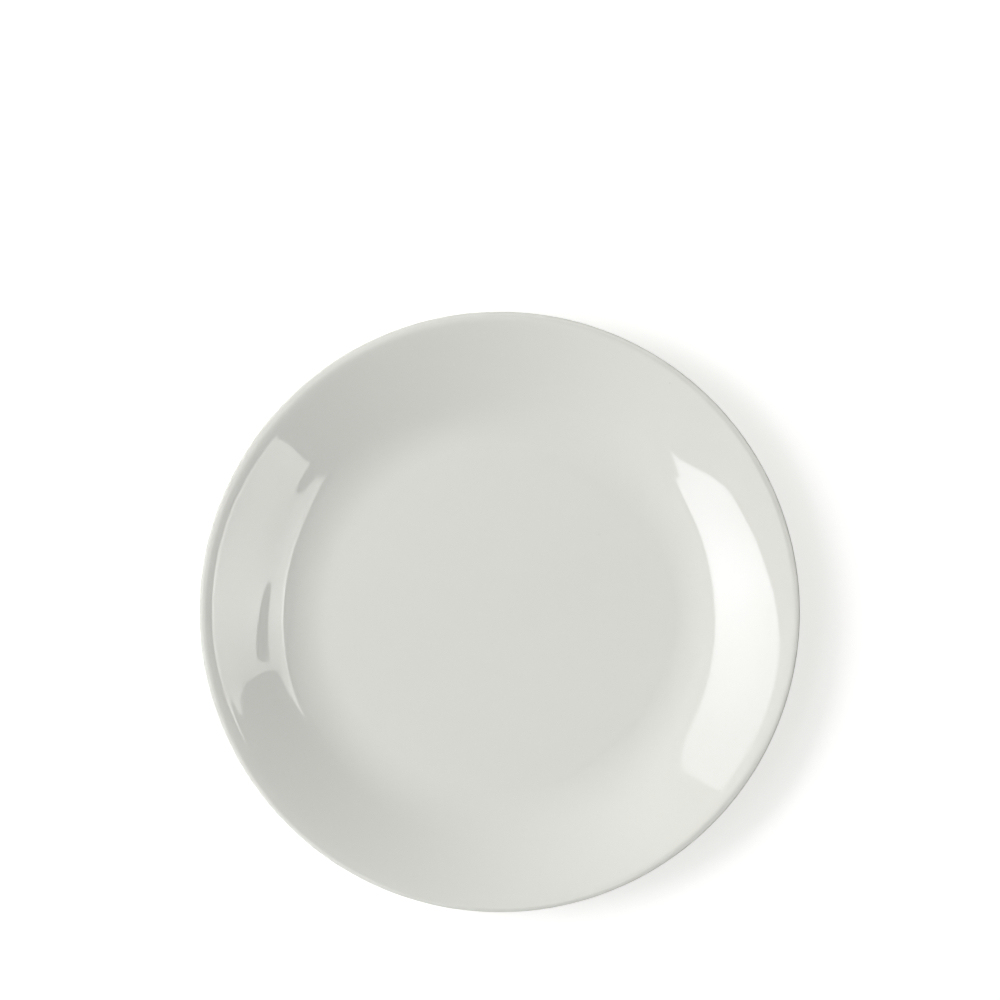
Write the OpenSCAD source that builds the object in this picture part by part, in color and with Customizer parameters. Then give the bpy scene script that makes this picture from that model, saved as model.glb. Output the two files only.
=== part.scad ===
// Side plate in glazed ceramic: a flat round well, a straight flared rim with a rolled lip,
// and a foot ring that is left bare of glaze where it stands on the table.
// Millimetres, +Z up. The origin is on the table, at the centre of the foot ring.
// Sizes are those of the finished plate. The clay lies one glaze thickness inside them.

/* [Plate] */
// Diameter over the glazed lip
plate_d = 200; // [150:1:260]
// Height of the glazed lip above the table
plate_h = 18; // [14:0.5:26]
// Width of the rim, from the edge of the flat well to the outside of the lip
rim_w = 41.5; // [25:0.5:60]

/* [Well] */
// Thickness of the floor, with its two coats of glaze
floor_t = 4.4; // [3.5:0.1:6]
// Radius of the hollow curve that leads from the floor up to the rim
blend_r = 49; // [20:1:80]

/* [Lip] */
// Radius of the roll that leads from the slope of the rim over the top of the lip
roll_r = 4; // [2.5:0.5:16]
// Fall of the roll past the top of the lip, in degrees, where the round edge takes over
lip_fall = 6; // [0:1:20]
// Radius of the round edge of the lip, half the thickness of the rim there
lip_r = 0.9; // [0.7:0.1:2.2]

/* [Foot ring] */
// Distance from the edge of the flat well in to the bare face, so that plates stack
stack_gap = 5.5; // [0:0.5:15]
// Width of the bare face that stands on the table
foot_w = 2.6; // [1.5:0.1:5]
// Lean of both sides of the foot ring from upright, in degrees
foot_lean = 12; // [0:1:30]
// Radius of the rounded edges of the bare face
foot_edge_r = 0.8; // [0.3:0.1:1.1]
// Radius of the hollow fillets where the foot ring meets the plate
foot_fillet_r = 1.6; // [0.8:0.1:2.4]
// Height of the glazed underside of the floor above the table, inside the foot ring
recess_h = 3.2; // [2.8:0.1:5]

/* [Glaze] */
// Thickness of the glaze
glaze_t = 0.3; // [0.1:0.05:0.5]
// Height above the table at which the glaze starts on the foot ring
glaze_start_h = 0.9; // [0.7:0.1:1.4]

/* [Hidden] */
$fn = 180;

// Farthest that a chord of a drawn arc may lie from the true arc
arc_tolerance = 0.01;

well_r = plate_d / 2 - rim_w;
floor_h = recess_h + floor_t;
glaze_full_h = glaze_start_h + glaze_t;

// Centres of the arcs of the section, as [distance from the axis, height above the table].
// The round edge of the lip lies inside the roll and touches it where it takes over.
lip_in_roll = (roll_r - lip_r) * direction(90 - lip_fall);
roll_centre = [plate_d / 2 - lip_r - lip_in_roll.x, plate_h - roll_r];
lip_centre = roll_centre + lip_in_roll;

// The hollow curve is as large as asked for where the rim has room for it above and below.
well_edge = [well_r, floor_h];
to_roll = [roll_centre.x, plate_h] - well_edge;
to_lip = lip_centre - well_edge;
room_above = (to_roll * to_roll) / (2 * to_roll.y) - roll_r;
room_below = (to_lip * to_lip - pow(floor_t - lip_r, 2)) / (2 * (to_lip.y + floor_t - lip_r));
hollow_r = min(blend_r, room_above, room_below);
under_hollow_r = hollow_r + floor_t;

// The hollow of the well and the curve below it share one centre, so the wall is even there.
hollow_centre = [well_r, floor_h + hollow_r];

// Slopes of the straight rim above and below, each a tangent between two of those arcs.
rim_slope = tangent_slope(hollow_centre - roll_centre, hollow_r + roll_r);
under_slope = tangent_slope(hollow_centre - lip_centre, under_hollow_r - lip_r);

// Sides of the foot ring. Each bare edge is an arc that runs into a leaning straight side.
// The fillets above stop where the glaze reaches its full thickness.
foot_outer_r = well_r - stack_gap;
foot_inner_r = foot_outer_r - foot_w;
foot_edge_reach = foot_edge_r * (1 - sin(foot_lean)) / cos(foot_lean);
fillet_r = min(foot_fillet_r, (recess_h - glaze_full_h) / (1 - sin(foot_lean)));
inner_fillet_h = recess_h - fillet_r;
inner_fillet_centre = [
    foot_inner_side(inner_fillet_h, 0) - fillet_r / cos(foot_lean),
    inner_fillet_h
];
outer_fillet_centre = fillet_on_foot(fillet_r);
outer_fillet_offset = outer_fillet_centre - hollow_centre;
under_flat = outer_fillet_centre.x <= well_r;
outer_fillet_meets = under_flat ? -90 : atan2(outer_fillet_offset.y, outer_fillet_offset.x);

// Angle of the line that keeps a given distance between two centres, measured square to it.
function tangent_slope(apart, distance) =
    atan2(-apart.x, apart.y) - acos(min(1, distance / norm(apart)));

// Points along an arc from one angle to another, close enough to keep to the tolerance.
function arc(centre, radius, from, to) =
    let (
        step = 2 * acos(1 - min(1, arc_tolerance / radius)),
        count = max(2, ceil(abs(to - from) / step))
    )
    [for (i = [0:count]) centre + radius * direction(from + (to - from) * i / count)];

function direction(angle) = [cos(angle), sin(angle)];

function reversed(points) = [for (i = [len(points) - 1:-1:0]) points[i]];

// Distance from the axis of each side of the foot ring at a height. The inset is how far the
// surface lies inside the finished plate, so the clay has an inset of one glaze thickness.
function foot_outer_side(height, inset) =
    foot_outer_r + foot_edge_reach + height * tan(foot_lean) + (glaze_t - inset) / cos(foot_lean);

function foot_inner_side(height, inset) =
    foot_inner_r - foot_edge_reach - height * tan(foot_lean) - (glaze_t - inset) / cos(foot_lean);

// Centre of the fillet outside the foot ring. It lies under the flat floor where there is room,
// and otherwise under the curve that leads up to the rim.
function fillet_on_foot(radius) =
    let (
        flat_h = recess_h - radius,
        flat_centre = [foot_outer_side(flat_h, 0) + radius / cos(foot_lean), flat_h],
        along = direction(90 - foot_lean),
        start = [foot_outer_side(0, 0) + radius / cos(foot_lean), 0],
        apart = start - hollow_centre,
        half_way = apart * along,
        reach = under_hollow_r + radius
    )
    flat_centre.x <= well_r
        ? flat_centre
        : start - along * (half_way + sqrt(pow(half_way, 2) - apart * apart + pow(reach, 2)));

// The glazed surface from the centre of the well over the lip and down to the foot ring.
// Hollow arcs grow with the inset and round ones shrink, so every inset is a parallel curve.
function upper_path(inset) = concat(
    [[0, floor_h - inset]],
    arc(hollow_centre, hollow_r + inset, -90, rim_slope - 90),
    arc(roll_centre, roll_r - inset, 90 + rim_slope, 90 - lip_fall),
    arc(lip_centre, lip_r - inset, 90 - lip_fall, under_slope - 90),
    arc(hollow_centre, under_hollow_r - inset, under_slope - 90, outer_fillet_meets),
    arc(outer_fillet_centre, fillet_r + inset, outer_fillet_meets + 180, 180 - foot_lean),
    [[foot_outer_side(glaze_full_h, inset), glaze_full_h]]
);

// The glazed surface under the floor, from its centre out and down the inside of the foot ring.
function lower_path(inset) = concat(
    [[0, recess_h + inset]],
    arc(inner_fillet_centre, fillet_r + inset, 90, foot_lean),
    [[foot_inner_side(glaze_full_h, inset), glaze_full_h]]
);

// The bare clay of the foot ring, from its outer side round the standing face to its inner side.
function bare_path() = concat(
    arc([foot_outer_r, foot_edge_r], foot_edge_r, -foot_lean, -90),
    arc([foot_inner_r, foot_edge_r], foot_edge_r, -90, foot_lean - 180)
);

// The rounded edge of the glaze, a quarter round that ends on the clay of the foot ring.
function glaze_edge(side_r, outward, down) =
    arc([side_r, glaze_full_h], glaze_t, outward, down);

// Fired clay: floor, rim and foot ring in one piece.
module clay_body() {
    color("#e6e0d2")
        rotate_extrude()
            polygon(concat(upper_path(glaze_t), bare_path(), reversed(lower_path(glaze_t))));
}

// Glaze over the well, the rim and the lip, and under the rim down to the foot ring.
module glaze_coat() {
    edge_r = foot_outer_side(glaze_full_h, glaze_t);
    color("#d7d8d2")
        rotate_extrude()
            polygon(concat(
                upper_path(0),
                glaze_edge(edge_r, -foot_lean, -90 - foot_lean),
                reversed(upper_path(glaze_t))
            ));
}

// Glaze under the floor, cut off from the rest by the bare foot ring.
module base_glaze() {
    edge_r = foot_inner_side(glaze_full_h, glaze_t);
    color("#d7d8d2")
        rotate_extrude()
            polygon(concat(
                lower_path(0),
                glaze_edge(edge_r, foot_lean - 180, foot_lean - 90),
                reversed(lower_path(glaze_t))
            ));
}

clay_body();
glaze_coat();
base_glaze();
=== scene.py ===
"""A glazed side plate: its three pieces, their finishes, the table, the light and the camera.

The frame gives the solids. Each piece is turned again here from the same section, finely and with
the slight unevenness of the plate in the photograph, and stands for its solid.
Lengths are in metres and angles in degrees, unless a name says otherwise.
"""
import logging
from dataclasses import dataclass, field
from enum import Enum

import bpy
import numpy as np
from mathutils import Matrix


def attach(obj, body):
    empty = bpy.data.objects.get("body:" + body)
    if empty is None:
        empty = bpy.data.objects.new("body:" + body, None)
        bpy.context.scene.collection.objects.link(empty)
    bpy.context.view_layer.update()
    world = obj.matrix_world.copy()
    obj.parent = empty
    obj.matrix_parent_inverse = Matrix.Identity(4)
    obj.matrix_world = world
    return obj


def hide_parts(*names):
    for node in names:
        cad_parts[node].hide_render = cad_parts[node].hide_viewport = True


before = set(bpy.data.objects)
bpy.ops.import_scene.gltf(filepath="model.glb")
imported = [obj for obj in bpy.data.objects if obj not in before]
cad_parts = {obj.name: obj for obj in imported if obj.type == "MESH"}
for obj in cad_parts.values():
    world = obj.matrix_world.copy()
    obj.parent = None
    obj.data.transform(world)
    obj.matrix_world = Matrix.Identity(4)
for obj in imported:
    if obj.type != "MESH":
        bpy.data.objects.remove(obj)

LOG = logging.getLogger("side_plate")
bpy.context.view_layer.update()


class Node(Enum):
    """The solids of the frame that the pieces stand for."""

    CLAY_BODY = "clay_body"
    GLAZE_COAT = "glaze_coat"
    BASE_GLAZE = "base_glaze"


class Slot(Enum):
    """The names of the material slots."""

    GLAZE = "glaze"
    BARE_CLAY = "bare_clay"


def arc(centre: np.ndarray, radius: float, start: float, end: float, count: int) -> np.ndarray:
    """Points along an arc: the centre plus the radius times (cosine, sine) of evenly spaced angles.

    Args:
        centre: Centre as (distance from the axis, height).
        radius: Radius of the arc.
        start: First angle.
        end: Last angle.
        count: Number of points.

    Returns:
        Array of shape (count, 2).
    """
    angles = np.radians(np.linspace(start, end, count))
    return centre + radius * np.stack([np.cos(angles), np.sin(angles)], axis=-1)


def straight(start: np.ndarray, end: np.ndarray, count: int) -> np.ndarray:
    """Points inside a straight line: even shares of the way, without its two ends.

    Args:
        start: First end of the line.
        end: Last end of the line.
        count: Number of points between the ends.

    Returns:
        Array of shape (count, 2).
    """
    share = np.linspace(0.0, 1.0, count + 2)[1:-1, None]
    return start + (end - start) * share


def smooth_step(value: np.ndarray, low: float, high: float) -> np.ndarray:
    """A rise from 0 to 1: three times the square less twice the cube of the share of the way.

    Args:
        value: Where the rise is read.
        low: Where it starts.
        high: Where it ends.

    Returns:
        The height of the rise at each value.
    """
    share = np.clip((value - low) / (high - low), 0.0, 1.0)
    return share * share * (3.0 - 2.0 * share)


@dataclass(frozen=True)
class PointCounts:
    """Numbers of points along the stretches of the section, at a fineness of 1."""

    floor: int = 8
    hollow: int = 10
    rim: int = 12
    roll: int = 10
    edge: int = 5
    lip: int = 5
    rim_below: int = 6
    under: int = 6
    fillet: int = 4
    foot_edge: int = 4
    foot_face: int = 2
    glaze_edge: int = 4


@dataclass(frozen=True)
class Section:
    """Half section of the plate: tangent arcs and straight lines, with the sizes of the solids.

    Two things differ. The roll runs on to a tight upper edge of the lip, within 0.2 mm of the solids,
    and the floor of the well lies 0.1 mm lower.
    """

    plate_d: float = 0.200
    plate_h: float = 0.018
    rim_w: float = 0.0415
    floor_t: float = 0.0043
    hollow_r: float = 0.049
    roll_r: float = 0.0033
    edge_fall: float = 15.0
    edge_r: float = 0.0004
    lip_r: float = 0.0009
    stack_gap: float = 0.0055
    foot_w: float = 0.0026
    foot_lean: float = 12.0
    foot_edge_r: float = 0.0008
    fillet_r: float = 0.0016
    recess_h: float = 0.0032
    glaze_t: float = 0.0003
    glaze_start_h: float = 0.0009
    counts: PointCounts = PointCounts()

    @property
    def well_r(self) -> float:
        """Radius of the flat floor of the well."""
        return self.plate_d / 2 - self.rim_w

    @property
    def floor_h(self) -> float:
        """Height of the floor of the well above the table."""
        return self.recess_h + self.floor_t

    @property
    def glaze_full_h(self) -> float:
        """Height at which the glaze has its full thickness on the foot ring."""
        return self.glaze_start_h + self.glaze_t

    @property
    def hollow_centre(self) -> np.ndarray:
        """Centre of the hollow curve between the well and the rim."""
        return np.array([self.well_r, self.floor_h + self.hollow_r])

    @property
    def roll_centre(self) -> np.ndarray:
        """Centre of the roll that leads from the rim over the top of the lip."""
        inside = (self.roll_r - self.edge_r) * np.sin(np.radians(self.edge_fall))
        return np.array([self.plate_d / 2 - self.edge_r - inside, self.plate_h - self.roll_r])

    @property
    def edge_centre(self) -> np.ndarray:
        """Centre of the tight upper edge of the lip, which touches the roll from inside."""
        fall = np.radians(self.edge_fall)
        return self.roll_centre + (self.roll_r - self.edge_r) * np.array([np.sin(fall), np.cos(fall)])

    @property
    def lip_centre(self) -> np.ndarray:
        """Centre of the round lip of the solids, which the straight rim below touches."""
        return np.array([self.plate_d / 2 - self.lip_r, self.plate_h - self.lip_r])

    @property
    def under_edge_r(self) -> float:
        """Radius of the arc from the outside of the lip down to the straight rim below.

        The arc starts upright beside the tight edge. Its radius is that of the round lip, less how far
        the start lies past the round lip's centre square to the rim, over 1 less the sine of the slope.

        Returns:
            The radius.
        """
        slope = np.radians(self.under_slope)
        start = np.array([self.plate_d / 2, self.edge_centre[1]])
        past = float((start - self.lip_centre) @ np.array([np.sin(slope), -np.cos(slope)]))
        return (self.lip_r - past) / (1 - float(np.sin(slope)))

    @property
    def rim_slope(self) -> float:
        """Slope of the straight rim above, a tangent between the hollow and the roll."""
        return self.tangent_slope(self.roll_centre, self.hollow_r + self.roll_r)

    @property
    def under_slope(self) -> float:
        """Slope of the straight rim below, a tangent between the hollow and the lip."""
        return self.tangent_slope(self.lip_centre, self.hollow_r + self.floor_t - self.lip_r)

    def tangent_slope(self, centre: np.ndarray, distance: float) -> float:
        """Slope of the line between two arcs: the angle of their centres less that of the offset.

        Args:
            centre: Centre of the arc that the line reaches from the hollow.
            distance: Sum or difference of the two radii.

        Returns:
            The slope from level.
        """
        apart = self.hollow_centre - centre
        lean = np.arctan2(-apart[0], apart[1]) - np.arccos(distance / np.hypot(*apart))
        return float(np.degrees(lean))

    def top_height(self, radius: np.ndarray) -> np.ndarray:
        """Height of the plate's upper face: level, then the hollow arc, the straight rim and the roll.

        Args:
            radius: Distance from the axis, up to the top of the lip.

        Returns:
            The height at each radius.
        """
        slope = np.radians(self.rim_slope)
        out = np.clip(radius - self.well_r, 0.0, self.hollow_r * np.sin(slope))
        hollow = self.floor_h + self.hollow_r - np.sqrt(self.hollow_r ** 2 - out ** 2)
        rim = hollow + np.clip(radius - self.well_r - out, 0.0, None) * np.tan(slope)
        across = np.clip(radius - self.roll_centre[0], -self.roll_r, self.roll_r)
        roll = self.roll_centre[1] + np.sqrt(self.roll_r ** 2 - across ** 2)
        return np.where(radius > self.roll_centre[0] - self.roll_r * np.sin(slope), roll, rim)

    def foot_side(self, height: float, inset: float, outward: int) -> np.ndarray:
        """A point on a leaning side of the foot ring.

        Args:
            height: Height above the table.
            inset: How far the surface lies inside the finished plate.
            outward: 1 on the outer side, -1 on the inner side.

        Returns:
            The point as (distance from the axis, height).
        """
        lean = np.radians(self.foot_lean)
        edge = self.well_r - self.stack_gap
        edge -= self.foot_w if outward < 0 else 0.0
        reach = self.foot_edge_r * (1 - np.sin(lean)) / np.cos(lean)
        reach += height * np.tan(lean) + (self.glaze_t - inset) / np.cos(lean)
        return np.array([edge + outward * reach, height])

    def fillet_centre(self, outward: int) -> np.ndarray:
        """Centre of the hollow fillet beside the foot ring, one radius off its leaning side.

        Args:
            outward: 1 on the outer side, -1 on the inner side.

        Returns:
            The centre as (distance from the axis, height).
        """
        height = self.recess_h - self.fillet_r
        beside = outward * self.fillet_r / np.cos(np.radians(self.foot_lean))
        return self.foot_side(height, 0.0, outward) + np.array([beside, 0.0])

    def upper(self, inset: float, fine: int) -> np.ndarray:
        """The surface from the axis over the well, rim and lip and back under to the foot ring.

        Hollow arcs grow with the inset and round ones shrink, so every inset is a parallel curve.

        Args:
            inset: How far the surface lies inside the finished plate.
            fine: Multiplies the number of points.

        Returns:
            Array of points, the first of them on the axis.
        """
        counts = self.counts
        lean = self.foot_lean
        fall = 90 - self.edge_fall
        above, below = self.rim_slope, self.under_slope - 90
        under_r = self.hollow_r + self.floor_t
        lip_r = self.under_edge_r
        lip_centre = np.array([self.plate_d / 2 - lip_r, self.edge_centre[1]])
        start = np.array([0.0, self.floor_h - inset])
        hollow = arc(self.hollow_centre, self.hollow_r + inset, -90, above - 90, counts.hollow * fine)
        roll = arc(self.roll_centre, self.roll_r - inset, 90 + above, fall, counts.roll * fine)
        edge = arc(self.edge_centre, self.edge_r - inset, fall, 0, counts.edge * fine)
        lip = arc(lip_centre, lip_r - inset, 0, below, counts.lip * fine)
        under = arc(self.hollow_centre, under_r - inset, below, -90, counts.under * fine)
        fillet = arc(self.fillet_centre(1), self.fillet_r + inset, 90, 180 - lean, counts.fillet * fine)
        return np.concatenate([
            start[None],
            straight(start, hollow[0], counts.floor * fine),
            hollow,
            straight(hollow[-1], roll[0], counts.rim * fine),
            roll,
            edge[1:],
            lip[1:],
            straight(lip[-1], under[0], counts.rim_below * fine),
            under,
            fillet,
            self.foot_side(self.glaze_full_h, inset, 1)[None],
        ])

    def lower(self, inset: float, fine: int) -> np.ndarray:
        """The surface under the floor, from the axis out and down the inside of the foot ring.

        Args:
            inset: How far the surface lies inside the finished plate.
            fine: Multiplies the number of points.

        Returns:
            Array of points, the first of them on the axis.
        """
        counts = self.counts
        lean = self.foot_lean
        start = np.array([0.0, self.recess_h + inset])
        fillet = arc(self.fillet_centre(-1), self.fillet_r + inset, 90, lean, counts.fillet * fine)
        return np.concatenate([
            start[None],
            straight(start, fillet[0], counts.floor * fine),
            fillet,
            self.foot_side(self.glaze_full_h, inset, -1)[None],
        ])

    def bare(self, fine: int) -> np.ndarray:
        """The bare clay of the foot ring, round its standing face from the outside to the inside.

        Args:
            fine: Multiplies the number of points.

        Returns:
            Array of points.
        """
        outer = np.array([self.well_r - self.stack_gap, self.foot_edge_r])
        inner = outer - np.array([self.foot_w, 0.0])
        lean = self.foot_lean
        edge_count = self.counts.foot_edge * fine
        round_out = arc(outer, self.foot_edge_r, -lean, -90, edge_count)
        round_in = arc(inner, self.foot_edge_r, -90, lean - 180, edge_count)
        return np.concatenate([
            round_out,
            straight(round_out[-1], round_in[0], self.counts.foot_face * fine),
            round_in,
        ])

    def glaze_edge(self, outward: int, fine: int) -> np.ndarray:
        """The rounded edge of the glaze on the foot ring, a quarter round that ends on the clay.

        Args:
            outward: 1 on the outer side, -1 on the inner side.
            fine: Multiplies the number of points.

        Returns:
            Array of points, from the glaze down to the clay.
        """
        centre = self.foot_side(self.glaze_full_h, self.glaze_t, outward)
        lean = self.foot_lean
        start, end = (-lean, -90 - lean) if outward > 0 else (lean - 180, lean - 90)
        return arc(centre, self.glaze_t, start, end, self.counts.glaze_edge * fine)


def turn_from(turn: np.ndarray, middle: float) -> np.ndarray:
    """Degrees from a middle turn, between -180 and 180.

    Args:
        turn: Angles round the axis, in radians.
        middle: The middle turn, in degrees.

    Returns:
        The difference at each turn, in degrees.
    """
    return (np.degrees(turn) - middle + 180.0) % 360.0 - 180.0


def bell(offset: np.ndarray, half_width: float) -> np.ndarray:
    """The square of a cosine: 1 in the middle, and 0 from the half width on."""
    return np.cos(np.clip(offset / half_width, -1.0, 1.0) * np.pi / 2) ** 2


@dataclass(frozen=True)
class Sag:
    """A stretch of the rim that hangs lower towards the lip, or higher where the depth is below 0."""

    depth: float
    start_r: float
    turn: float
    half_turn: float
    full_r: float = 0.095
    fade_r: float = 0.096
    end_r: float = 0.0988

    def lift(self, radius: np.ndarray, turn: np.ndarray) -> np.ndarray:
        """Less the depth, times a fall that steepens evenly and levels off, times a bell round the turn.

        The fall is the square of the share of the way out. From the fade on, its slope dies away along
        a smooth step, which adds up to u - u^3 + u^4 / 2.

        Args:
            radius: Distance from the axis.
            turn: Angle round the axis, in radians.

        Returns:
            The lift at each point.
        """
        width = self.full_r - self.start_r
        out = np.clip((np.minimum(radius, self.fade_r) - self.start_r) / width, 0.0, None)
        u = np.clip((radius - self.fade_r) / (self.end_r - self.fade_r), 0.0, 1.0)
        steepest = 2 * (self.fade_r - self.start_r) / width ** 2
        fall = out ** 2 + steepest * (self.end_r - self.fade_r) * (u - u ** 3 + u ** 4 / 2)
        return -self.depth * fall * bell(turn_from(turn, self.turn), self.half_turn)


@dataclass(frozen=True)
class Dip:
    """A stretch where the hollow reaches farther out, so that the rim there lies a little lower."""

    depth: float
    start_r: float
    end_r: float
    turn: float
    half_turn: float

    def lift(self, radius: np.ndarray, turn: np.ndarray) -> np.ndarray:
        """Less the depth, times a smooth step outwards, times a bell round the turn.

        Args:
            radius: Distance from the axis.
            turn: Angle round the axis, in radians.

        Returns:
            The lift at each point.
        """
        step = smooth_step(radius, self.start_r, self.end_r)
        return -self.depth * step * bell(turn_from(turn, self.turn), self.half_turn)


@dataclass(frozen=True)
class Ridge:
    """A low slanting ridge in the glaze, where a run of it set."""

    height: float
    radius: float
    half_width: float
    slant: float
    turn: float
    half_turn: float

    def lift(self, radius: np.ndarray, turn: np.ndarray) -> np.ndarray:
        """The height, times a bell curve across the slanting line, times a bell along it.

        Args:
            radius: Distance from the axis.
            turn: Angle round the axis, in radians.

        Returns:
            The lift at each point.
        """
        along = turn_from(turn, self.turn)
        across = (radius - self.radius - self.slant * along) / self.half_width
        return self.height * np.exp(-across ** 2) * bell(along, self.half_turn)


@dataclass(frozen=True)
class Shoulder:
    """A stretch before the lip where the rim bends over early. Without a half turn it runs all round."""

    slope: float
    start_r: float
    full_r: float
    end_r: float
    turn: float = 0.0
    half_turn: float | None = None

    def lift(self, radius: np.ndarray, turn: np.ndarray) -> np.ndarray:
        """Less a drop whose slope comes and goes along smooth steps, times a bell round the turn.

        The drop adds up to u^3 - u^4 / 2 over the first step and to v - v^3 + v^4 / 2 over the next.

        Args:
            radius: Distance from the axis.
            turn: Angle round the axis, in radians.

        Returns:
            The lift at each point.
        """
        come = self.full_r - self.start_r
        go = self.end_r - self.full_r
        u = np.clip((radius - self.start_r) / come, 0.0, 1.0)
        v = np.clip((radius - self.full_r) / go, 0.0, 1.0)
        drop = come * (u ** 3 - u ** 4 / 2) + go * (v - v ** 3 + v ** 4 / 2)
        share = 1.0 if self.half_turn is None else bell(turn_from(turn, self.turn), self.half_turn)
        return -self.slope * drop * share


@dataclass(frozen=True)
class Unevenness:
    """How this one plate departs from its section, as a small lift at each radius and turn.

    The well lies a little off the middle of the rim. The rim is slightly crowned, sags a little on
    one side and bends over early before the lip, and the glaze has two low ridges. Turns count from
    +X towards +Y.
    """

    section: Section
    well_shift: float = 0.0022
    well_turn: float = -80.0
    shift_at_lip: float = 0.35
    fade_past_well: float = 0.010
    fade_end_r: float = 0.095
    crown_lift: float = 0.00007
    crown_start_r: float = 0.073
    crown_end_r: float = 0.095
    ease_drop: float = 0.000045
    ease_start_r: float = 0.070
    ease_end_r: float = 0.078
    forms: tuple[Sag | Dip | Ridge | Shoulder, ...] = (
        Shoulder(slope=0.055, start_r=0.0944, full_r=0.0972, end_r=0.0988),
        Shoulder(slope=0.15, start_r=0.0970, full_r=0.0979, end_r=0.0990, turn=3.0, half_turn=55.0),
        Shoulder(slope=0.27, start_r=0.0971, full_r=0.0982, end_r=0.0992, turn=-48.0, half_turn=42.0),
        Shoulder(slope=0.20, start_r=0.0980, full_r=0.0993, end_r=0.1000, turn=-92.0, half_turn=50.0),
        Shoulder(slope=0.20, start_r=0.0979, full_r=0.0987, end_r=0.0996, turn=-45.0, half_turn=30.0),
        Shoulder(slope=0.08, start_r=0.0977, full_r=0.0985, end_r=0.0996, turn=20.0, half_turn=25.0),
        Shoulder(slope=0.05, start_r=0.0967, full_r=0.0980, end_r=0.0994, turn=205.0, half_turn=40.0),
        Sag(depth=0.00054, start_r=0.077, turn=13.0, half_turn=41.0),
        Sag(depth=-0.00038, start_r=0.079, turn=-46.0, half_turn=32.0),
        Sag(depth=-0.00003, start_r=0.0875, turn=172.0, half_turn=32.0),
        Sag(depth=0.00002, start_r=0.087, turn=142.0, half_turn=16.0),
        Sag(depth=-0.000010, start_r=0.093, turn=202.0, half_turn=30.0),
        Dip(depth=0.00020, start_r=0.066, end_r=0.074, turn=135.0, half_turn=30.0),
        Dip(depth=0.00006, start_r=0.070, end_r=0.078, turn=205.0, half_turn=22.0),
        Dip(depth=0.00002, start_r=0.070, end_r=0.079, turn=175.0, half_turn=40.0),
        Dip(depth=0.000012, start_r=0.069, end_r=0.076, turn=42.0, half_turn=12.0),
        Ridge(0.000027, radius=0.0806, half_width=0.0022, slant=0.000265, turn=180.5, half_turn=16.0),
        Ridge(0.000012, radius=0.0795, half_width=0.0022, slant=0.0, turn=143.0, half_turn=9.0),
    )

    def lift(self, radius: np.ndarray, turn: np.ndarray) -> np.ndarray:
        """Lift of the surface, the sum of its parts.

        Args:
            radius: Distance from the axis.
            turn: Angle round the axis, in radians.

        Returns:
            The lift at each point.
        """
        lift = self.shifted_well(radius, turn) + self.crown(radius)
        for form in self.forms:
            lift = lift + form.lift(radius, turn)
        return lift

    def shifted_well(self, radius: np.ndarray, turn: np.ndarray) -> np.ndarray:
        """Lift of a well moved sideways: the section's height read at the moved radius, less its own.

        Part of the move dies out from the hollow to the lip.

        Args:
            radius: Distance from the axis.
            turn: Angle round the axis, in radians.

        Returns:
            The lift at each point.
        """
        part = self.section
        fade_start_r = part.well_r + self.fade_past_well
        fade = (1.0 - self.shift_at_lip) * smooth_step(radius, fade_start_r, self.fade_end_r)
        move = (1.0 - fade) * self.well_shift * np.cos(turn - np.radians(self.well_turn))
        inside = np.minimum(radius, part.roll_centre[0])
        return part.top_height(inside - move) - part.top_height(inside)

    def crown(self, radius: np.ndarray) -> np.ndarray:
        """Lift of the crowned rim and of the eased end of the hollow.

        The crown rises along 6 u^2 - 8 u^3 + 3 u^4, steepest a third of the way out, and the ease
        is a smooth step down.

        Args:
            radius: Distance from the axis.

        Returns:
            The lift at each radius.
        """
        width = self.crown_end_r - self.crown_start_r
        u = np.clip((radius - self.crown_start_r) / width, 0.0, 1.0)
        rise = self.crown_lift * (6 * u ** 2 - 8 * u ** 3 + 3 * u ** 4)
        return rise - self.ease_drop * smooth_step(radius, self.ease_start_r, self.ease_end_r)


def new_object(name: str, points: np.ndarray, faces: list[np.ndarray]) -> bpy.types.Object:
    """A smooth-shaded mesh object at the origin.

    Args:
        name: Name of the object and its mesh.
        points: Array of shape (n, 3).
        faces: Arrays of point numbers, one row a face, one array for each number of corners.

    Returns:
        The object, linked to the scene.
    """
    mesh = bpy.data.meshes.new(name)
    corners = np.concatenate([rows.ravel() for rows in faces])
    sizes = np.concatenate([np.full(len(rows), rows.shape[1]) for rows in faces])
    mesh.vertices.add(len(points))
    mesh.vertices.foreach_set("co", points.astype(np.float32).ravel())
    mesh.loops.add(len(corners))
    mesh.loops.foreach_set("vertex_index", corners.astype(np.int32))
    mesh.polygons.add(len(sizes))
    mesh.polygons.foreach_set("loop_start", (np.cumsum(sizes) - sizes).astype(np.int32))
    mesh.polygons.foreach_set("use_smooth", np.ones(len(sizes), dtype=bool))
    mesh.update(calc_edges=True)
    mesh.validate()
    piece = bpy.data.objects.new(name, mesh)
    bpy.context.scene.collection.objects.link(piece)
    return piece


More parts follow.
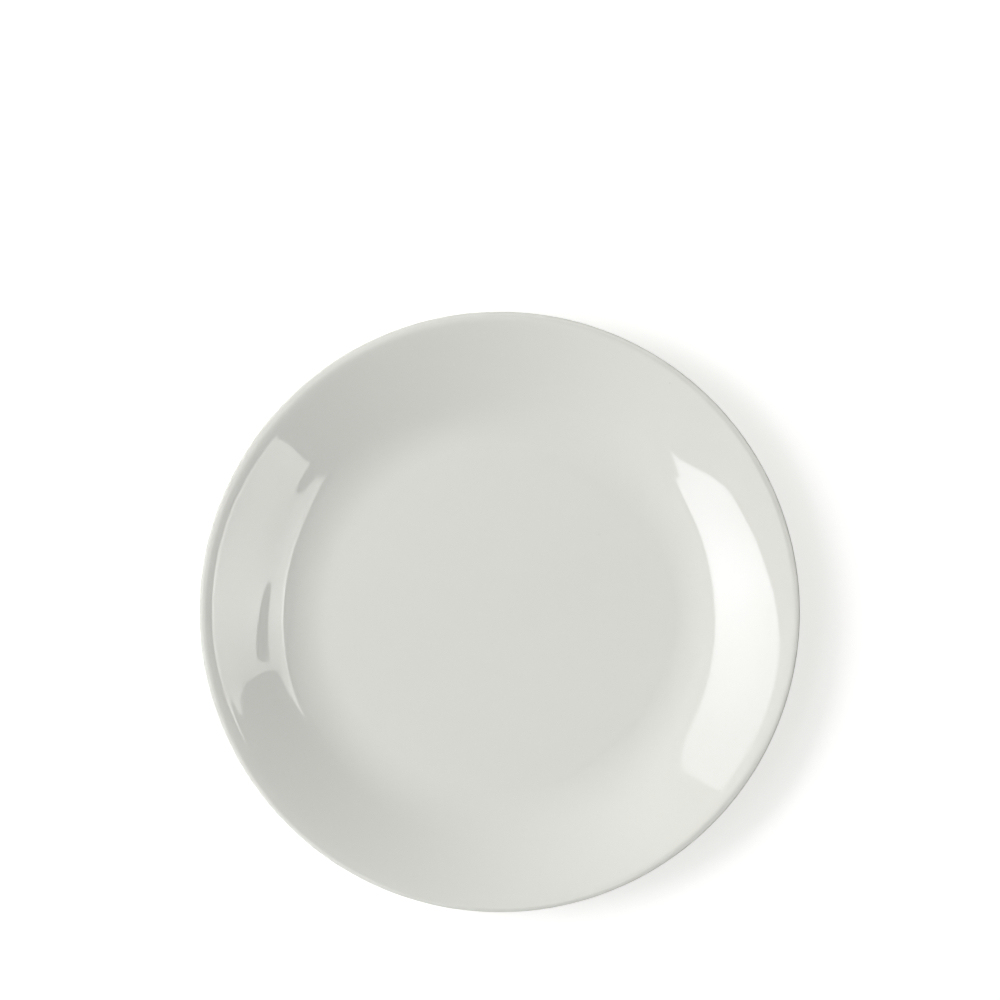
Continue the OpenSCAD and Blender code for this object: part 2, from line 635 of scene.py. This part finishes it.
def turned(name: str, profile: np.ndarray, segments: int, uneven: Unevenness) -> bpy.types.Object:
    """A closed profile carried round the axis: (r cos t, r sin t, h plus the lift at r and t).

    Args:
        name: Name of the piece.
        profile: Points as (radius, height). The first and last lie on the axis and are poles.
        segments: Number of steps round the axis.
        uneven: Gives the lift.

    Returns:
        The piece, closed at both poles and at its seam, with its faces outwards.
    """
    turn = np.arange(segments) * (2 * np.pi / segments)
    radius, angle = np.meshgrid(profile[1:-1, 0], turn, indexing="ij")
    height = profile[1:-1, 1][:, None] + uneven.lift(radius, angle)
    rings = np.stack([radius * np.cos(angle), radius * np.sin(angle), height], axis=-1)
    count = len(rings)
    poles = np.array([[0.0, 0.0, profile[0, 1]], [0.0, 0.0, profile[-1, 1]]])
    points = np.concatenate([rings.reshape(-1, 3), poles])
    grid = np.arange(count * segments).reshape(count, segments)
    after = np.roll(grid, -1, axis=1)
    quads = np.stack([grid[:-1], grid[1:], after[1:], after[:-1]], axis=-1).reshape(-1, 4)
    first = np.full(segments, count * segments)
    caps = np.concatenate([
        np.stack([first, grid[0], after[0]], axis=-1),
        np.stack([first + 1, after[-1], grid[-1]], axis=-1),
    ])
    return new_object(name, points, [quads, caps])


class NodeSheet:
    """Adds nodes to a node tree, with values or links for their inputs."""

    # Places of a Mix node's sockets for colours
    MIX_SHARE = 0
    MIX_FIRST = 6
    MIX_SECOND = 7
    MIX_RESULT = 2

    def __init__(self, tree: bpy.types.NodeTree) -> None:
        """Keep the tree that the nodes go into."""
        self.tree = tree

    def add(self, kind: str, inputs: dict | None = None, **settings: object) -> bpy.types.Node:
        """Add a node.

        Args:
            kind: Blender's name of the node type.
            inputs: Values or output sockets, by the input's name or number.
            settings: Properties of the node.

        Returns:
            The new node.
        """
        node = self.tree.nodes.new(kind)
        for key, value in settings.items():
            setattr(node, key, value)
        for key, value in (inputs or {}).items():
            if isinstance(value, bpy.types.NodeSocket):
                self.tree.links.new(value, node.inputs[key])
            else:
                node.inputs[key].default_value = value
        return node

    def math(self, operation: str, *values: object) -> bpy.types.NodeSocket:
        """The result of a Math node on values or sockets."""
        return self.add("ShaderNodeMath", dict(enumerate(values)), operation=operation).outputs[0]

    def mix(self, share: object, first: object, second: object) -> bpy.types.NodeSocket:
        """The colour between two colours or sockets, by a share from 0 to 1."""
        inputs = {self.MIX_SHARE: share, self.MIX_FIRST: first, self.MIX_SECOND: second}
        return self.add("ShaderNodeMix", inputs, data_type="RGBA").outputs[self.MIX_RESULT]

    def ramp(self, value: object, low: float, high: float) -> bpy.types.NodeSocket:
        """A smooth rise from 0 at the low value to 1 at the high value."""
        inputs = {"Value": value, "From Min": low, "From Max": high}
        return self.add("ShaderNodeMapRange", inputs, interpolation_type="SMOOTHSTEP").outputs[0]

    def seen_rays(self) -> bpy.types.NodeSocket:
        """A mask of the rays that show a surface to the camera, also by way of gloss or glass.

        Returns:
            The socket of the mask: 1 for those rays and 0 for the light that bounces.
        """
        rays = self.add("ShaderNodeLightPath").outputs
        direct = self.math("MAXIMUM", rays["Is Camera Ray"], rays["Is Glossy Ray"])
        return self.math("MAXIMUM", direct, rays["Is Transmission Ray"])


def new_group(name: str, inputs: dict[str, float], output: str) -> tuple[NodeSheet, bpy.types.Node]:
    """A shader node group with number inputs and one number output.

    Args:
        name: Name of the group.
        inputs: Default values of its inputs.
        output: Name of its output.

    Returns:
        The sheet that adds its nodes, and the node that holds its inputs.
    """
    tree = bpy.data.node_groups.new(name, "ShaderNodeTree")
    for label, value in inputs.items():
        socket = tree.interface.new_socket(label, in_out="INPUT", socket_type="NodeSocketFloat")
        socket.default_value = value
    tree.interface.new_socket(output, in_out="OUTPUT", socket_type="NodeSocketFloat")
    sheet = NodeSheet(tree)
    return sheet, sheet.add("NodeGroupInput")


class CloudyTone:
    """Node group: a slow, cloudy change of tone about 1, from noise on Object coordinates."""

    def __init__(self) -> None:
        """Build the group."""
        sheet, entry = new_group("cloudy_tone", {"Clouds per metre": 30.0, "Depth": 0.02}, "Tone")
        place = sheet.add("ShaderNodeTexCoord")
        noise = sheet.add("ShaderNodeTexNoise", {
            "Vector": place.outputs["Object"],
            "Scale": entry.outputs["Clouds per metre"],
            "Detail": 3.0,
            "Roughness": 0.55,
        })
        centred = sheet.math("SUBTRACT", noise.outputs[0], 0.5)
        swing = sheet.math("MULTIPLY", centred, entry.outputs["Depth"])
        sheet.add("NodeGroupOutput", {"Tone": sheet.math("MULTIPLY_ADD", swing, 2.0, 1.0)})
        self.tree = sheet.tree


class Specks:
    """Node group: sparse round specks, a mask that is 1 inside a speck and 0 outside."""

    # Share of a speck's radius inside which the mask is full
    CORE = 0.4

    def __init__(self) -> None:
        """Build the group."""
        inputs = {"Cells per metre": 260.0, "Size": 0.10, "Share": 0.06}
        sheet, entry = new_group("specks", inputs, "Mask")
        place = sheet.add("ShaderNodeTexCoord")
        cells = sheet.add("ShaderNodeTexVoronoi", {
            "Vector": place.outputs["Object"],
            "Scale": entry.outputs["Cells per metre"],
        })
        near = sheet.math("DIVIDE", cells.outputs["Distance"], entry.outputs["Size"])
        inside = sheet.ramp(near, 1.0, self.CORE)
        red = sheet.add("ShaderNodeSeparateColor", {0: cells.outputs["Color"]}).outputs[0]
        chosen = sheet.math("LESS_THAN", red, entry.outputs["Share"])
        sheet.add("NodeGroupOutput", {"Mask": sheet.math("MULTIPLY", inside, chosen)})
        self.tree = sheet.tree


class Grain:
    """Node group: a fine, even grain from 0 to 1, for bump and roughness."""

    def __init__(self) -> None:
        """Build the group."""
        sheet, entry = new_group("grain", {"Grains per metre": 900.0, "Detail": 2.0}, "Height")
        place = sheet.add("ShaderNodeTexCoord")
        noise = sheet.add("ShaderNodeTexNoise", {
            "Vector": place.outputs["Object"],
            "Scale": entry.outputs["Grains per metre"],
            "Detail": entry.outputs["Detail"],
        })
        sheet.add("NodeGroupOutput", {"Height": noise.outputs[0]})
        self.tree = sheet.tree


@dataclass(frozen=True)
class Effects:
    """The node groups that more than one finish uses."""

    cloudy: CloudyTone = field(default_factory=CloudyTone)
    specks: Specks = field(default_factory=Specks)
    grain: Grain = field(default_factory=Grain)


def new_material(name: str) -> tuple[bpy.types.Material, NodeSheet]:
    """A material with an empty node tree.

    Args:
        name: Name of the material.

    Returns:
        The material and the sheet that adds its nodes.
    """
    material = bpy.data.materials.new(name)
    material.use_nodes = True
    material.node_tree.nodes.clear()
    return material, NodeSheet(material.node_tree)


@dataclass(frozen=True)
class GlazeFinish:
    """Clear glossy glaze over pale clay: cool white, faintly cloudy, with a few pinholes.

    Along the lip the glaze is drawn thin and worn by washing and stacking, so its gloss is softer there.
    The depth of the pinholes is given in heights of the ripple.
    """

    colour: tuple[float, float, float, float] = (0.715, 0.721, 0.667, 1.0)
    pinhole_colour: tuple[float, float, float, float] = (0.45, 0.43, 0.37, 1.0)
    roughness: float = 0.02
    worn_roughness: float = 0.55
    wear_start_r: float = 0.0984
    wear_full_r: float = 0.0995
    ior: float = 1.5
    ripple_height: float = 0.000007
    pinhole_depth: float = 4.0

    def material(self, effects: Effects) -> bpy.types.Material:
        """Build the material.

        Args:
            effects: The shared node groups.

        Returns:
            The finished material.
        """
        material, sheet = new_material("white_glaze")
        clouds = {"Clouds per metre": 24.0, "Depth": 0.012}
        tone = sheet.add("ShaderNodeGroup", clouds, node_tree=effects.cloudy.tree).outputs[0]
        holes = {"Cells per metre": 300.0, "Size": 0.055, "Share": 0.02}
        pinholes = sheet.add("ShaderNodeGroup", holes, node_tree=effects.specks.tree).outputs[0]
        waves = {"Grains per metre": 160.0, "Detail": 1.0}
        ripple = sheet.add("ShaderNodeGroup", waves, node_tree=effects.grain.tree).outputs[0]
        clouded = sheet.add("ShaderNodeVectorMath", {0: self.colour[:3], 1: tone}, operation="MULTIPLY")
        colour = sheet.mix(pinholes, clouded.outputs[0], self.pinhole_colour)
        worn = sheet.math("MULTIPLY", self.lip_mask(sheet), self.worn_roughness - self.roughness)
        roughness = sheet.math("ADD", worn, self.roughness)
        relief = sheet.math("MULTIPLY_ADD", pinholes, -self.pinhole_depth, ripple)
        bump = sheet.add("ShaderNodeBump", {"Height": relief, "Distance": self.ripple_height})
        shader = sheet.add("ShaderNodeBsdfPrincipled", {
            "Base Color": colour,
            "Roughness": roughness,
            "IOR": self.ior,
            "Normal": bump.outputs["Normal"],
        })
        sheet.add("ShaderNodeOutputMaterial", {"Surface": shader.outputs["BSDF"]})
        return material

    def lip_mask(self, sheet: NodeSheet) -> bpy.types.NodeSocket:
        """A mask of the worn lip: 0 on the rim and 1 at the edge, by the distance from the axis.

        Args:
            sheet: The sheet of the material.

        Returns:
            The socket of the mask.
        """
        place = sheet.add("ShaderNodeTexCoord").outputs["Object"]
        flat = sheet.add("ShaderNodeVectorMath", {0: place, 1: (1.0, 1.0, 0.0)}, operation="MULTIPLY")
        reach = sheet.add("ShaderNodeVectorMath", {0: flat.outputs[0]}, operation="LENGTH")
        return sheet.ramp(reach.outputs["Value"], self.wear_start_r, self.wear_full_r)


@dataclass(frozen=True)
class BareClayFinish:
    """Fired clay without glaze: matt, warm white, grainy, with a few darker grains."""

    colour: tuple[float, float, float, float] = (0.72, 0.66, 0.55, 1.0)
    grain_colour: tuple[float, float, float, float] = (0.46, 0.39, 0.29, 1.0)
    roughness: float = 0.82
    grain_height: float = 0.00005

    def material(self, effects: Effects) -> bpy.types.Material:
        """Build the material.

        Args:
            effects: The shared node groups.

        Returns:
            The finished material.
        """
        material, sheet = new_material("bare_fired_clay")
        clouds = {"Clouds per metre": 120.0, "Depth": 0.10}
        tone = sheet.add("ShaderNodeGroup", clouds, node_tree=effects.cloudy.tree).outputs[0]
        spots = {"Cells per metre": 900.0, "Size": 0.30, "Share": 0.10}
        specks = sheet.add("ShaderNodeGroup", spots, node_tree=effects.specks.tree).outputs[0]
        sand = {"Grains per metre": 2600.0, "Detail": 3.0}
        grain = sheet.add("ShaderNodeGroup", sand, node_tree=effects.grain.tree).outputs[0]
        clouded = sheet.add("ShaderNodeVectorMath", {0: self.colour[:3], 1: tone}, operation="MULTIPLY")
        colour = sheet.mix(specks, clouded.outputs[0], self.grain_colour)
        bump = sheet.add("ShaderNodeBump", {"Height": grain, "Distance": self.grain_height})
        shader = sheet.add("ShaderNodeBsdfPrincipled", {
            "Base Color": colour,
            "Roughness": self.roughness,
            "Normal": bump.outputs["Normal"],
        })
        sheet.add("ShaderNodeOutputMaterial", {"Surface": shader.outputs["BSDF"]})
        return material


@dataclass
class ClayBody:
    """Fired clay of the plate: floor, rim and foot ring, bare only on the foot ring."""

    section: Section
    uneven: Unevenness
    segments: int = 360
    piece: bpy.types.Object | None = None

    def build(self) -> None:
        """Turn the clay: under the glaze above, round the bare foot, and back under the floor."""
        inset = self.section.glaze_t
        above = self.section.upper(inset, fine=2)
        below = self.section.lower(inset, fine=2)[::-1]
        profile = np.concatenate([above, self.section.bare(fine=3), below])
        self.piece = turned("fired_clay", profile, self.segments, self.uneven)
        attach(self.piece, "root")
        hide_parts(Node.CLAY_BODY.value)

    def dress(self, finish: bpy.types.Material) -> None:
        """Give the clay its finish."""
        self.piece.data.materials.append(finish)


@dataclass
class GlazeCoat:
    """Glaze over the well, rim and lip, and under the rim down to the foot ring."""

    section: Section
    uneven: Unevenness
    segments: int = 360
    piece: bpy.types.Object | None = None

    def build(self) -> None:
        """Turn the glaze: its outside from the axis to its edge on the foot, and its inside back."""
        outside = self.section.upper(0.0, fine=3)
        edge = self.section.glaze_edge(1, fine=1)[1:]
        inside = self.section.upper(self.section.glaze_t, fine=1)[::-1]
        profile = np.concatenate([outside, edge, inside])
        self.piece = turned("glaze_over_plate", profile, self.segments, self.uneven)
        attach(self.piece, "root")
        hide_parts(Node.GLAZE_COAT.value)

    def dress(self, finish: bpy.types.Material) -> None:
        """Give the glaze its finish."""
        self.piece.data.materials.append(finish)


@dataclass
class BaseGlaze:
    """Glaze under the floor, inside the bare foot ring."""

    section: Section
    uneven: Unevenness
    segments: int = 360
    piece: bpy.types.Object | None = None

    def build(self) -> None:
        """Turn the glaze: its inside against the clay first, and then its outside back."""
        outside = self.section.lower(0.0, fine=3)
        edge = self.section.glaze_edge(-1, fine=1)[1:]
        inside = self.section.lower(self.section.glaze_t, fine=1)
        profile = np.concatenate([inside, edge[::-1], outside[::-1]])
        self.piece = turned("glaze_under_base", profile, self.segments, self.uneven)
        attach(self.piece, "root")
        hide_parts(Node.BASE_GLAZE.value)

    def dress(self, finish: bpy.types.Material) -> None:
        """Give the glaze its finish."""
        self.piece.data.materials.append(finish)


@dataclass(frozen=True)
class Table:
    """A plain white table top that keeps the plate's soft shadow."""

    half_size: float = 4.0
    drop: float = 0.00002
    own_light: float = 0.728
    own_colour: tuple[float, float, float, float] = (1.0, 1.0, 0.972, 1.0)
    far_colour: tuple[float, float, float, float] = (1.0, 1.0, 1.0, 1.0)
    seen_colour: float = 0.395
    bounce_colour: float = 0.80
    fade_start: float = 0.25
    fade_end: float = 0.60

    def build(self) -> None:
        """Lay a level square a hair below the foot, so that the two faces never share a plane."""
        corners = np.array([[-1.0, -1.0], [1.0, -1.0], [1.0, 1.0], [-1.0, 1.0]]) * self.half_size
        points = np.column_stack([corners, np.full(4, -self.drop)])
        top = new_object("table_top", points, [np.array([[0, 1, 2, 3]])])
        top.data.materials.append(self.material())

    def material(self) -> bpy.types.Material:
        """White as it is seen, and a plain pale surface for the light that bounces off it.

        Far from the plate the seen white needs no light at all, so the table has no far edge.

        Returns:
            The finished material.
        """
        material, sheet = new_material("white_table")
        place = sheet.add("ShaderNodeTexCoord").outputs["Object"]
        reach = sheet.add("ShaderNodeVectorMath", {0: place}, operation="LENGTH").outputs["Value"]
        far = sheet.ramp(reach, self.fade_start, self.fade_end)
        glow = sheet.math("MULTIPLY_ADD", far, 1.0 - self.own_light, self.own_light)
        lit = sheet.math("MULTIPLY_ADD", far, -self.seen_colour, self.seen_colour)
        white = sheet.mix(far, self.own_colour, self.far_colour)
        emission = sheet.add("ShaderNodeEmission", {"Color": white, "Strength": glow})
        soft = sheet.add("ShaderNodeBsdfDiffuse", {"Color": lit})
        seen = sheet.add("ShaderNodeAddShader", {0: emission.outputs[0], 1: soft.outputs[0]})
        bounce = sheet.add("ShaderNodeBsdfDiffuse", {"Color": (self.bounce_colour,) * 3 + (1.0,)})
        shaders = {0: sheet.seen_rays(), 1: bounce.outputs[0], 2: seen.outputs[0]}
        surface = sheet.add("ShaderNodeMixShader", shaders)
        sheet.add("ShaderNodeOutputMaterial", {"Surface": surface.outputs[0]})
        return material


@dataclass(frozen=True)
class LightPanel:
    """A curved glowing panel on a sphere about the plate, bounded by four outlines.

    Azimuths count from +X towards +Y and polar angles from straight up. The top and bottom are
    short lists of (azimuth, polar angle), the start and end of (polar angle, azimuth). The glow is
    the product of two lists, one along the azimuth and one down from the top edge. A panel that is
    not mirrored lights the plate but does not show in its gloss.
    """

    name: str
    top: tuple[tuple[float, float], ...]
    bottom: tuple[tuple[float, float], ...]
    start: tuple[tuple[float, float], ...]
    end: tuple[tuple[float, float], ...]
    glow_along: tuple[tuple[float, float], ...]
    glow_down: tuple[tuple[float, float], ...]
    tint: tuple[float, float, float, float] = (1.0, 1.0, 1.0, 1.0)
    mirrored: bool = True
    distance: float = 1.8
    steps: int = 120
    rounds: int = 30

    def build(self) -> None:
        """Make the panel: shares across and down, settled between the four outlines.

        The outlines depend on each other, so each round reads them again and moves half way to them.
        """
        share = np.linspace(0.0, 1.0, self.steps)
        across, down = np.meshgrid(share, share, indexing="ij")
        azimuth = self.start[0][1] + (self.end[0][1] - self.start[0][1]) * across
        for _ in range(self.rounds):
            top, bottom = read(self.top, azimuth), read(self.bottom, azimuth)
            polar = top + (bottom - top) * down
            start, end = read(self.start, polar), read(self.end, polar)
            azimuth = 0.5 * azimuth + 0.5 * (start + (end - start) * across)
        glow = read(self.glow_along, azimuth) * read(self.glow_down, polar - top)
        az, po = np.radians(azimuth), np.radians(polar)
        points = np.stack([np.sin(po) * np.cos(az), np.sin(po) * np.sin(az), np.cos(po)], axis=-1)
        grid = np.arange(self.steps ** 2).reshape(self.steps, self.steps)
        rows = [grid[:-1, :-1], grid[:-1, 1:], grid[1:, 1:], grid[1:, :-1]]
        faces = np.stack(rows, axis=-1).reshape(-1, 4)
        panel = new_object(self.name, self.distance * points.reshape(-1, 3), [faces])
        values = panel.data.attributes.new("glow", "FLOAT", "POINT")
        values.data.foreach_set("value", glow.astype(np.float32).ravel())
        panel.data.materials.append(self.material())
        panel.visible_camera = False
        panel.visible_glossy = self.mirrored

    def material(self) -> bpy.types.Material:
        """Light of the strength that the panel's glow attribute gives.

        Returns:
            The finished material.
        """
        material, sheet = new_material(self.name + "_light")
        glow = sheet.add("ShaderNodeAttribute", attribute_name="glow").outputs["Fac"]
        emission = sheet.add("ShaderNodeEmission", {"Color": self.tint, "Strength": glow})
        sheet.add("ShaderNodeOutputMaterial", {"Surface": emission.outputs[0]})
        return material


def read(points: tuple[tuple[float, float], ...], share: np.ndarray) -> np.ndarray:
    """Values between the points of a short list, along straight lines.

    Args:
        points: Rows of (share, value) with rising shares.
        share: Where the list is read.

    Returns:
        The value at each share.
    """
    rows = np.array(points)
    return np.interp(share, rows[:, 0], rows[:, 1])


def far_panel(
    name: str,
    turns: tuple[float, float],
    polars: tuple[float, float],
    glow: float,
    slant: float = 0.0,
    mirrored: bool = True,
    distance: float = 6.0,
) -> LightPanel:
    """A panel of even glow, far off, between two azimuths and two polar angles.

    Args:
        name: Name of the panel.
        turns: First and last azimuth of its top edge.
        polars: Polar angles of its top and bottom edges.
        glow: Strength of its light.
        slant: How much farther round its bottom edge lies.
        mirrored: Whether it shows in the plate's gloss.
        distance: Radius of the sphere that it lies on.

    Returns:
        The panel.
    """
    first, last = turns
    high, low = polars
    return LightPanel(
        name=name,
        top=((first, high), (last + slant, high)),
        bottom=((first, low), (last + slant, low)),
        start=((high, first), (low, first + slant)),
        end=((high, last), (low, last + slant)),
        glow_along=((first, glow), (last + slant, glow)),
        glow_down=((0.0, 1.0), (low - high, 1.0)),
        mirrored=mirrored,
        distance=distance,
    )


@dataclass(frozen=True)
class Studio:
    """The room, the lamps and the camera, which looks straight down on the table."""

    room_light: float = 0.07
    window_turn: float = 185.0
    wall_light: float = 0.05
    wall_lean: tuple[float, float] = (0.30, 0.46)
    wall_rise: tuple[float, float] = (0.55, 0.75)
    camera_height: float = 1.418
    camera_x: float = 0.0001
    camera_y: float = 0.0373
    frame_width: float = 0.33286
    sensor: float = 36.0
    lip_height: float = 0.018
    panels: tuple[LightPanel, ...] = (
        LightPanel(
            name="window_light",
            top=(
                (142, 32.9), (147, 31.6), (155, 29.7), (165, 27.6), (176, 26.2), (188, 25.6),
                (200, 26.4), (213, 28.4), (216, 29.3), (218, 30.0), (220, 30.5), (222, 30.75), (224, 30.9),
                (226, 31.05), (228, 31.3), (234, 32.5),
            ),
            bottom=((130, 35.0), (235, 35.0)),
            start=((25, 142), (35, 142)),
            end=((25, 228), (35, 228)),
            glow_along=(
                (142, 2.9), (154, 2.95), (164, 3.65), (174, 4.3), (184, 5.2), (191, 6.3), (200, 6.0),
                (210, 5.6), (220, 5.7),
            ),
            glow_down=((0.0, 0.8), (5.0, 1.0)),
            tint=(0.95, 0.93, 1.06, 1.0),
        ),
        far_panel("low_window_light", (148, 184), (38, 60), glow=15.9, slant=16, mirrored=False),
        far_panel("high_window_light", (155, 190), (16, 29), glow=4.0, mirrored=False),
        far_panel("far_wall_light", (100, 140), (45, 65), glow=2.4),
        LightPanel(
            name="white_card",
            top=((-45, 29.8), (-36, 29.0), (-25, 28.3), (-8, 27.7), (5, 27.9), (24, 28.7), (30, 29.2)),
            bottom=((-45, 34), (-17, 34), (-14, 30.95), (6, 31.2), (9, 31.4), (12, 34)),
            start=((26, -42), (29.6, -41), (30.05, -39), (30.4, -33), (33, -32)),
            end=(
                (26, 28), (28.6, 27), (29, 25), (29.4, 20), (29.8, 14.5), (30.4, 11.2), (30.9, 10), (33, 9),
            ),
            glow_along=(
                (-42, 2.5), (-34, 2.6), (-24, 3.4), (-19, 3.9), (-9, 4.7), (-3, 4.5), (1, 4.0), (6, 3.4),
                (11, 2.7), (16, 3.1), (28, 3.1),
            ),
            glow_down=((0.0, 1.9), (0.9, 1.65), (1.7, 1.36), (2.3, 1.2), (3.0, 1.15)),
            tint=(1.0, 1.0, 0.96, 1.0),
        ),
    )

    def build(self) -> None:
        """Set up the room, the lamps and the camera."""
        scene = bpy.context.scene
        scene.view_settings.view_transform = "Standard"
        self.room(scene)
        for panel in self.panels:
            panel.build()
            LOG.info("light %s", panel.name)
        self.camera(scene)

    def room(self, scene: bpy.types.Scene) -> None:
        """A white room to look at, which lights the plate only a little.

        In the plate's gloss the wall round the window is dim, as it has the light behind it.

        Args:
            scene: The scene that gets the room.
        """
        world = bpy.data.worlds.new("white_room")
        world.use_nodes = True
        world.node_tree.nodes.clear()
        sheet = NodeSheet(world.node_tree)
        strength = sheet.math("MULTIPLY_ADD", sheet.seen_rays(), 1.0 - self.room_light, self.room_light)
        gloss = sheet.add("ShaderNodeLightPath").outputs["Is Glossy Ray"]
        wall = sheet.math("MULTIPLY", self.wall_mask(sheet), gloss)
        strength = sheet.math("MULTIPLY_ADD", wall, self.wall_light - 1.0, strength)
        light = sheet.add("ShaderNodeBackground", {"Strength": strength})
        sheet.add("ShaderNodeOutputWorld", {"Surface": light.outputs[0]})
        scene.world = world

    def wall_mask(self, sheet: NodeSheet) -> bpy.types.NodeSocket:
        """A mask of the wall round the window, by a direction's lean towards the window and its rise.

        Args:
            sheet: The sheet of the world.

        Returns:
            The socket of the mask: 1 on the wall and 0 in the rest of the room.
        """
        turn = np.radians(self.window_turn)
        window = (float(np.cos(turn)), float(np.sin(turn)), 0.0)
        place = sheet.add("ShaderNodeTexCoord").outputs["Object"]
        lean = sheet.add("ShaderNodeVectorMath", {0: place, 1: window}, operation="DOT_PRODUCT")
        rise = sheet.add("ShaderNodeSeparateXYZ", {0: place}).outputs["Z"]
        beside = sheet.ramp(lean.outputs["Value"], *self.wall_lean)
        return sheet.math("MULTIPLY", beside, sheet.ramp(rise, *self.wall_rise))

    def camera(self, scene: bpy.types.Scene) -> None:
        """A long lens straight above, so wide that the frame's width fits at the height of the lip.

        Args:
            scene: The scene that gets the camera.
        """
        data = bpy.data.cameras.new("camera")
        data.sensor_width = self.sensor
        data.lens = self.sensor * (self.camera_height - self.lip_height) / self.frame_width
        data.clip_start = 0.01
        data.clip_end = 50.0
        eye = bpy.data.objects.new("camera", data)
        eye.location = (self.camera_x, self.camera_y, self.camera_height)
        scene.collection.objects.link(eye)
        scene.camera = eye


def main() -> None:
    """Build the pieces in order, dress them, and set the table, the light and the camera."""
    logging.basicConfig(level=logging.INFO, format="%(name)s: %(message)s")
    section = Section()
    uneven = Unevenness(section)
    effects = Effects()
    glaze = GlazeFinish().material(effects)
    clay = BareClayFinish().material(effects)
    parts = (
        (ClayBody(section, uneven), clay),
        (GlazeCoat(section, uneven), glaze),
        (BaseGlaze(section, uneven), glaze),
    )
    for part, finish in parts:
        part.build()
        part.dress(finish)
        LOG.info("piece %s with %d points", part.piece.name, len(part.piece.data.vertices))
    Table().build()
    Studio().build()


if __name__ == "__main__":
    main()
